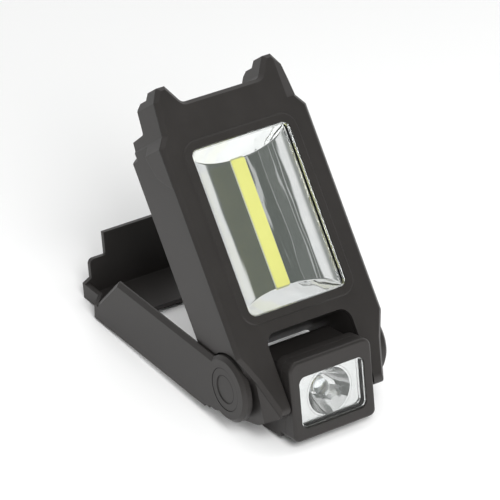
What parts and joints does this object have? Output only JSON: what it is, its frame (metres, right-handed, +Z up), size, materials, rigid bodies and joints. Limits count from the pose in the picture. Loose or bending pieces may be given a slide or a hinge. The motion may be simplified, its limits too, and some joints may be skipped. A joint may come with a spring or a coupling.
{
  "type": "folding work light",
  "caption": "Folding work light: flat case with a long area light, swivelling spot lamp between its lower ears, and a two-armed stand on the same hinge.",
  "frame": {"origin": "on the ground, below the middle of the light's width and length as it stands open", "axes": "+Z up; -Y the way that the lamps face; +X to the light's left as it faces the user, along the hinge axis"},
  "size_m": [0.062, 0.129, 0.1093],
  "materials": {
    "case_plastic": "fine matt texture",
    "clear_lens": "clear moulded plastic",
    "reflector_chrome": "bright metallised plastic",
    "circuit_board": "white solder mask",
    "phosphor_yellow": "smooth silicone over phosphor",
    "inner_plastic": "plain",
    "button_rubber": "soft",
    "cell_metal": "plain sleeve",
    "spring_steel": "nickel plated",
    "screw_steel": "zinc plated",
    "magnet_metal": "nickel plated"
  },
  "bodies": {
    "case": {"front_cover": "case_plastic", "rear_shell": "case_plastic", "area_lens": "clear_lens", "area_reflector": "reflector_chrome", "led_board": "circuit_board", "led_strip": "phosphor_yellow", "driver_board": "circuit_board", "push_switch": "inner_plastic", "cell_left": "cell_metal", "cell_middle": "cell_metal", "cell_right": "cell_metal", "contact_low_pair": "spring_steel", "contact_low_single": "spring_steel", "contact_high_pair": "spring_steel", "contact_high_single": "spring_steel", "battery_door": "case_plastic", "case_screw_1": "screw_steel", "case_screw_2": "screw_steel", "case_screw_3": "screw_steel", "case_screw_4": "screw_steel", "door_screw": "screw_steel", "hinge_pin_right": "screw_steel", "hinge_pin_left": "screw_steel"},
    "button": {"push_button": "button_rubber"},
    "stand": {"stand_frame": "case_plastic", "magnet_right": "magnet_metal", "magnet_left": "magnet_metal", "hinge_cap_right": "case_plastic", "hinge_cap_left": "case_plastic"},
    "lamp": {"lamp_frame": "case_plastic", "lamp_housing": "case_plastic", "lamp_lens": "clear_lens", "lamp_plate": "reflector_chrome", "lamp_optic": "reflector_chrome", "lamp_chip": "phosphor_yellow", "lamp_board": "circuit_board"}
  },
  "joints": [
    {"name": "stand_hinge", "type": "hinge", "parent": "case", "child": "stand", "pos_m": [0, -0.03991, 0.01762], "axis": [1, 0, 0], "range_deg": [-127.5, 52.5]},
    {"name": "lamp_tilt", "type": "hinge", "parent": "case", "child": "lamp", "pos_m": [0, -0.03991, 0.01762], "axis": [1, 0, 0], "range_deg": [-29, 81]},
    {"name": "button_press", "type": "slide", "parent": "case", "child": "button", "axis": [0, -0.7677, 0.6408], "range_m": [0, 0.0008], "stiffness_N_per_m": 1500, "springref_m": -0.0012}
  ]
}
